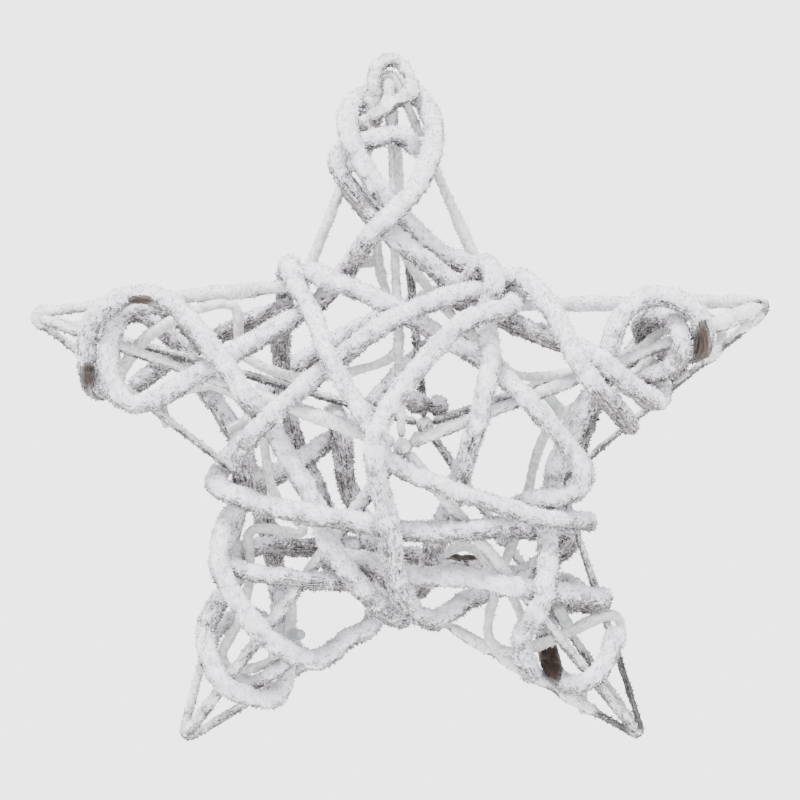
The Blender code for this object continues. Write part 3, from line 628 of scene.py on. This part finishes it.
def clearFlecks(mesh, bare):
    # takes the flecks off the bare bark: each fleck is a cone of four corners in a row
    tufts = np.empty(len(mesh.vertices), dtype=np.float32)
    mesh.attributes["tuft"].data.foreach_get("value", tufts)
    flecks = np.flatnonzero(tufts > 0.5).reshape(-1, 4)
    gone = flecks[bare[flecks].max(axis=1) > coverLook["barest"]].ravel()
    shape = bmesh.new()
    shape.from_mesh(mesh)
    shape.verts.ensure_lookup_table()
    bmesh.ops.delete(shape, geom=[shape.verts[index] for index in gone], context="VERTS")
    shape.to_mesh(mesh)
    shape.free()


def addCover(piece, node, cover):
    # keeps on each corner how much flock lies there, and how bare the bark is
    mesh = piece.data
    count = len(mesh.vertices)
    places = np.empty(count * 3, dtype=np.float32)
    mesh.vertices.foreach_get("co", places)
    places = places.reshape(-1, 3)
    front = np.clip((coverLook["frontPlace"] - places[:, 1]) / coverLook["frontReach"], 0.0, 1.0)
    amount = cover + coverLook["frontShare"] * (front - 0.5)
    if node == "outline_wire":
        extra = np.array([stretch[1] for stretch in wireLook["outlineStretches"]])
        amount = amount + extra[[outlineStretch(x, z) for x, z in places[:, (0, 2)]]]
    for strand, x, y, reach, _, extra in snowLumps:
        if strand == node:
            amount = amount + extra * pictureShare(places, x, y, (reach, reach))
    bare = np.zeros(count)
    for strand, x, y, reachAcross, reachDown in barePatches:
        if strand == node:
            bare = np.maximum(bare, pictureShare(places, x, y, (reachAcross, reachDown)))
    for name, values in (("cover", amount), ("bare", bare)):
        layer = mesh.attributes.new(name, "FLOAT", "POINT")
        layer.data.foreach_set("value", values.astype(np.float32))
    if bare.any():
        clearFlecks(mesh, bare)


def endTaper(count, spacing, reach, endShare=0.35):
    # rounds off both ends of a rod, down to a share of its width
    widths = []
    for index in range(count):
        near = min(index, count - 1 - index) * spacing
        share = min(1.0, near / reach)
        widths.append(endShare + (1.0 - endShare) * math.sqrt(max(0.0, 1.0 - (1.0 - share) ** 2)))
    return widths


# The vines. Each strand: thickness as a share of the solid's, how much flock lies on it, and its own seed
vineLook = {
    "radius": 0.0040,
    "thinRadius": 0.0028,
    "thin": ("vine_foot_inner", "hub_tie"),
    "spacing": 0.0016,
    "taper": 0.0035,
    "rod": {
        "Step": 0.0008, "Swell": 0.28, "Swell Size": 0.009, "Crust Height": 0.00085, "Crust Size": 0.0036,
        "Fleck Density": 620000.0, "Fleck Length": 0.0017, "Fleck Width": 0.00058, "Sides": 20,
        "Finish": vineMaterial,
    },
    "strands": {
        "vine_belt": (1.02, 0.56, 3), "vine_ribbon": (1.0, 0.60, 5), "vine_long": (1.0, 0.60, 7),
        "vine_arm_back": (0.92, 0.42, 9), "vine_wide": (1.0, 0.60, 11), "vine_slope": (0.90, 0.58, 13),
        "vine_ring": (0.94, 0.60, 15), "vine_bow": (1.0, 0.60, 17), "vine_post": (1.0, 0.56, 19),
        "vine_stem": (1.0, 0.58, 21), "vine_cross": (1.0, 0.58, 23), "vine_turn": (0.92, 0.46, 25),
        "vine_low": (1.04, 0.60, 27), "vine_toe": (1.0, 0.58, 29), "vine_band": (0.9, 0.50, 31),
        "vine_foot": (0.96, 0.66, 33), "vine_foot_inner": (1.0, 0.68, 35), "hub_tie": (1.05, 0.54, 37),
    },
}

for node, (share, cover, seed) in vineLook["strands"].items():
    radius = vineLook["thinRadius"] if node in vineLook["thin"] else vineLook["radius"]
    line = smoothLine(centreLine(node), vineLook["spacing"])
    widths = endTaper(len(line), vineLook["spacing"], vineLook["taper"])
    path = pathObject(node + "Path", line, lumpedWidths(node, line, widths))
    piece = growRod("flocked_" + node, path, {**vineLook["rod"], "Rod Radius": radius * share, "Seed": seed})
    addCover(piece, node, cover)
    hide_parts(node)
    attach(piece, "root")
print("vines wound:", len(vineLook["strands"]))

# The winding of the top tip is the coarsest: big lumps of flock, tinged beige
tipLook = {
    "spacing": 0.0016,
    "taper": 0.003,
    "cover": 0.72,
    "rod": {
        "Rod Radius": 0.0029, "Step": 0.0006, "Swell": 0.70, "Swell Size": 0.006, "Crust Height": 0.00130,
        "Crust Size": 0.0040, "Fleck Density": 500000.0, "Fleck Length": 0.0017, "Fleck Width": 0.0005,
        "Sides": 22, "Seed": 51, "Finish": tipMaterial,
    },
}
line = smoothLine(centreLine("tip_winding"), tipLook["spacing"])
path = pathObject("tipPath", line, endTaper(len(line), tipLook["spacing"], tipLook["taper"]))
piece = growRod("flocked_tip_winding", path, tipLook["rod"])
addCover(piece, "tip_winding", tipLook["cover"])
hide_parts("tip_winding")
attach(piece, "root")
print("tip wound")

# The frame's wires, thickly crusted near the front and thinner behind
wireLook = {
    "radius": 0.00150,
    "spacing": 0.0012,
    "taper": 0.002,
    "rod": {
        "Step": 0.0009, "Swell": 0.22, "Swell Size": 0.009, "Crust Height": 0.00055, "Crust Size": 0.0020,
        "Fleck Density": 620000.0, "Fleck Length": 0.0015, "Fleck Width": 0.00050, "Sides": 16,
        "Finish": wireMaterial,
    },
    # thickness and flock of the outline's stretches, clockwise from the top tip, and how many points round
    # each one their thickness is averaged over
    "outlineStretches": [(1.2, 0.4), (1.5, 0.6), (0.9, -0.25), (0.95, -0.1), (1.1, 0.05),
                         (1.1, 0.05), (1.15, 0.2), (0.95, -0.1), (1.3, 0.3), (1.25, 0.35)],
    "outlineBlend": range(-6, 7),
    # each wire: thickness as a share of the solid's, flock and seed
    "wires": {
        "outline_wire": (1.0, 0.56, 61), "front_wire_top": (1.15, 0.60, 62),
        "front_wire_left": (1.3, 0.58, 63), "front_wire_lower_left": (1.5, 0.70, 64),
        "front_wire_lower_right": (1.3, 0.58, 65), "front_wire_right": (1.6, 0.75, 66),
        "back_wire_top": (1.1, 0.46, 67), "back_wire_left": (1.1, 0.46, 68),
        "back_wire_lower_left": (1.1, 0.46, 69), "back_wire_lower_right": (1.1, 0.46, 70),
        "back_wire_right": (1.1, 0.46, 71),
    },
}

for node, (share, cover, seed) in wireLook["wires"].items():
    closed = node == "outline_wire"
    line = smoothLine(closedLine(node) if closed else centreLine(node), wireLook["spacing"], closed)
    count = len(line)
    widths = endTaper(count, wireLook["spacing"], wireLook["taper"])
    if closed:
        plain = [wireLook["outlineStretches"][outlineStretch(point[0], point[2])][0] for point in line]
        widths = [np.mean([plain[(index + step) % count] for step in wireLook["outlineBlend"]])
                  for index in range(count)]
    path = pathObject(node + "Path", line, lumpedWidths(node, line, widths), closed)
    piece = growRod("flocked_" + node, path,
                    {**wireLook["rod"], "Rod Radius": wireLook["radius"] * share, "Seed": seed})
    addCover(piece, node, cover)
    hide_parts(node)
    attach(piece, "root")

# The weld knots in the middle: rods as long as they are thick, rounded to balls, each with its seed
hubLook = {
    "cover": 0.80,
    "shares": np.linspace(-0.97, 0.97, 13),
    "rod": {
        "Step": 0.0006, "Swell": 0.15, "Swell Size": 0.004, "Crust Height": 0.0004, "Crust Size": 0.002,
        "Fleck Density": 400000.0, "Fleck Length": 0.0014, "Fleck Width": 0.0003, "Sides": 24,
        "Finish": wireMaterial,
    },
    "hubs": {"front_hub": 81, "back_hub": 82},
}

for node, seed in hubLook["hubs"].items():
    low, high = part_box(node)
    middle = (low + high) / 2
    reach = (high.x - low.x) / 2
    line = [middle + Vector((0.0, 0.0, reach * share)) for share in hubLook["shares"]]
    path = pathObject(node + "Path", line, [math.sqrt(1.0 - share * share) for share in hubLook["shares"]])
    piece = growRod("flocked_" + node, path, {**hubLook["rod"], "Rod Radius": reach, "Seed": seed})
    addCover(piece, node, hubLook["cover"])
    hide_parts(node)
    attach(piece, "root")
print("wires and hubs made")

# The light string's cable, a little thicker than the solid with the flock that clings to it
cableLook = {
    "spacing": 0.0014,
    "taper": 0.002,
    "rod": {
        "Rod Radius": 0.0017 * 1.15, "Step": 0.0009, "Swell": 0.30, "Swell Size": 0.008,
        "Crust Height": 0.00042, "Crust Size": 0.0025, "Fleck Density": 340000.0, "Fleck Length": 0.0015,
        "Fleck Width": 0.0004, "Sides": 16, "Seed": 91, "Finish": cableMaterial,
    },
}
line = smoothLine(centreLine("light_cable"), cableLook["spacing"])
lightCable = [Vector(p) for p in line]
widths = endTaper(len(line), cableLook["spacing"], cableLook["taper"])
path = pathObject("cablePath", line, lumpedWidths("light_cable", line, widths))
piece = growRod("cable_of_lights", path, cableLook["rod"])
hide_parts("light_cable")
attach(piece, "root")

# The capped lights on the cable
lightLook = {
    # place along the light as a share of its length, radius as a share of its own, and 0 for the collar or
    # 1 for the cap
    "profile": [(-0.07, 0.0, 0), (-0.07, 0.45, 0), (0.0, 0.80, 0), (0.10, 0.96, 0), (0.24, 0.98, 0),
                (0.28, 0.90, 0), (0.29, 0.86, 1), (0.60, 0.87, 1), (0.88, 0.84, 1), (0.96, 0.76, 1),
                (1.0, 0.60, 1), (1.0, 0.0, 1)],
    "around": 28,
    "radius": 0.0026,
}


def lightPiece(node):
    # a light turned from its profile, with the collar at the end that stands on the cable
    line = centreLine(node)
    start, end = line[0], line[-1]
    if min((start - p).length for p in lightCable) > min((end - p).length for p in lightCable):
        start, end = end, start
    way = (end - start).normalized()
    side = way.orthogonal().normalized()
    other = way.cross(side)
    length = (end - start).length
    mesh = bmesh.new()
    rings = []
    for along, share, _ in lightLook["profile"]:
        middle = start + way * along * length
        if share == 0.0:
            rings.append([mesh.verts.new(middle)])
            continue
        ring = []
        for index in range(lightLook["around"]):
            turn = 2 * math.pi * index / lightLook["around"]
            spoke = side * math.cos(turn) + other * math.sin(turn)
            ring.append(mesh.verts.new(middle + spoke * share * lightLook["radius"]))
        rings.append(ring)
    for first, second, (_, _, part) in zip(rings[:-1], rings[1:], lightLook["profile"][1:]):
        for index in range(lightLook["around"]):
            after = (index + 1) % lightLook["around"]
            if len(first) == 1:
                corners = (first[0], second[after], second[index])
            elif len(second) == 1:
                corners = (first[index], first[after], second[0])
            else:
                corners = (first[index], first[after], second[after], second[index])
            face = mesh.faces.new(corners)
            face.material_index = part
            face.smooth = True
    bmesh.ops.recalc_face_normals(mesh, faces=mesh.faces)
    data = bpy.data.meshes.new("capped_" + node)
    mesh.to_mesh(data)
    mesh.free()
    data.materials.append(collarMaterial)
    data.materials.append(capMaterial)
    light = bpy.data.objects.new("capped_" + node, data)
    bpy.context.scene.collection.objects.link(light)
    return light


lightNodes = sorted(name for name in nodes if name.startswith("light_") and name != "light_cable")
for node in lightNodes:
    piece = lightPiece(node)
    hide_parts(node)
    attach(piece, "root")
print("cable and lights made:", len(lightNodes))

# Floor, light and camera
studioLook = {
    "floorDrop": 0.30,
    "floorSize": 30.0,
    "floor": (0.92, 0.92, 0.92, 1.0),
    "floorRoughness": 0.9,
    "world": (0.96, 0.97, 1.0, 1.0),
    "worldStrength": 1.45,
    # each sun: its strength, its width in degrees and where it stands
    "suns": {"key": (8.4, 20.0, (-0.14, -0.32, 0.94)), "fill": (1.1, 60.0, (0.7, -0.9, 0.35))},
    "distance": 8.0,
    "sensor": 36.0,
    "clipEnd": 60.0,
}

floorHeight = cadBox[0][2] - studioLook["floorDrop"]
bpy.ops.mesh.primitive_plane_add(size=studioLook["floorSize"], location=(0.0, 0.0, floorHeight))
floor = bpy.context.object
floor.name = "floor"
floorMaterial, _, floorShader = newMaterial("paleFloor")
floorShader.inputs["Base Color"].default_value = studioLook["floor"]
floorShader.inputs["Roughness"].default_value = studioLook["floorRoughness"]
floor.data.materials.append(floorMaterial)

world = bpy.data.worlds.new("studio")
world.use_nodes = True
background = world.node_tree.nodes["Background"]
background.inputs["Color"].default_value = studioLook["world"]
background.inputs["Strength"].default_value = studioLook["worldStrength"]
bpy.context.scene.world = world


def addSun(name, strength, angle, fromPlace):
    data = bpy.data.lights.new(name, "SUN")
    data.energy = strength
    data.angle = math.radians(angle)
    lamp = bpy.data.objects.new(name, data)
    lamp.rotation_mode = "QUATERNION"
    lamp.rotation_quaternion = Vector(fromPlace).to_track_quat("Z", "Y")
    bpy.context.scene.collection.objects.link(lamp)


for name, (strength, angle, fromPlace) in studioLook["suns"].items():
    addSun(name, strength, angle, fromPlace)

away, right, up, turn = pictureBasis()
offAcross, offDown = (place - pictureLook["side"] / 2 for place in pictureLook["middle"])
lens = bpy.data.cameras.new("camera")
lens.sensor_width = studioLook["sensor"]
lens.lens = studioLook["sensor"] * studioLook["distance"] / pictureLook["width"]
lens.clip_end = studioLook["clipEnd"]
camera = bpy.data.objects.new("camera", lens)
camera.rotation_mode = "QUATERNION"
camera.rotation_quaternion = turn
camera.location = (starMiddle + away * studioLook["distance"]
                   - right * offAcross * pixel + up * offDown * pixel)
bpy.context.scene.collection.objects.link(camera)
bpy.context.scene.camera = camera
print("stage, light and camera set")
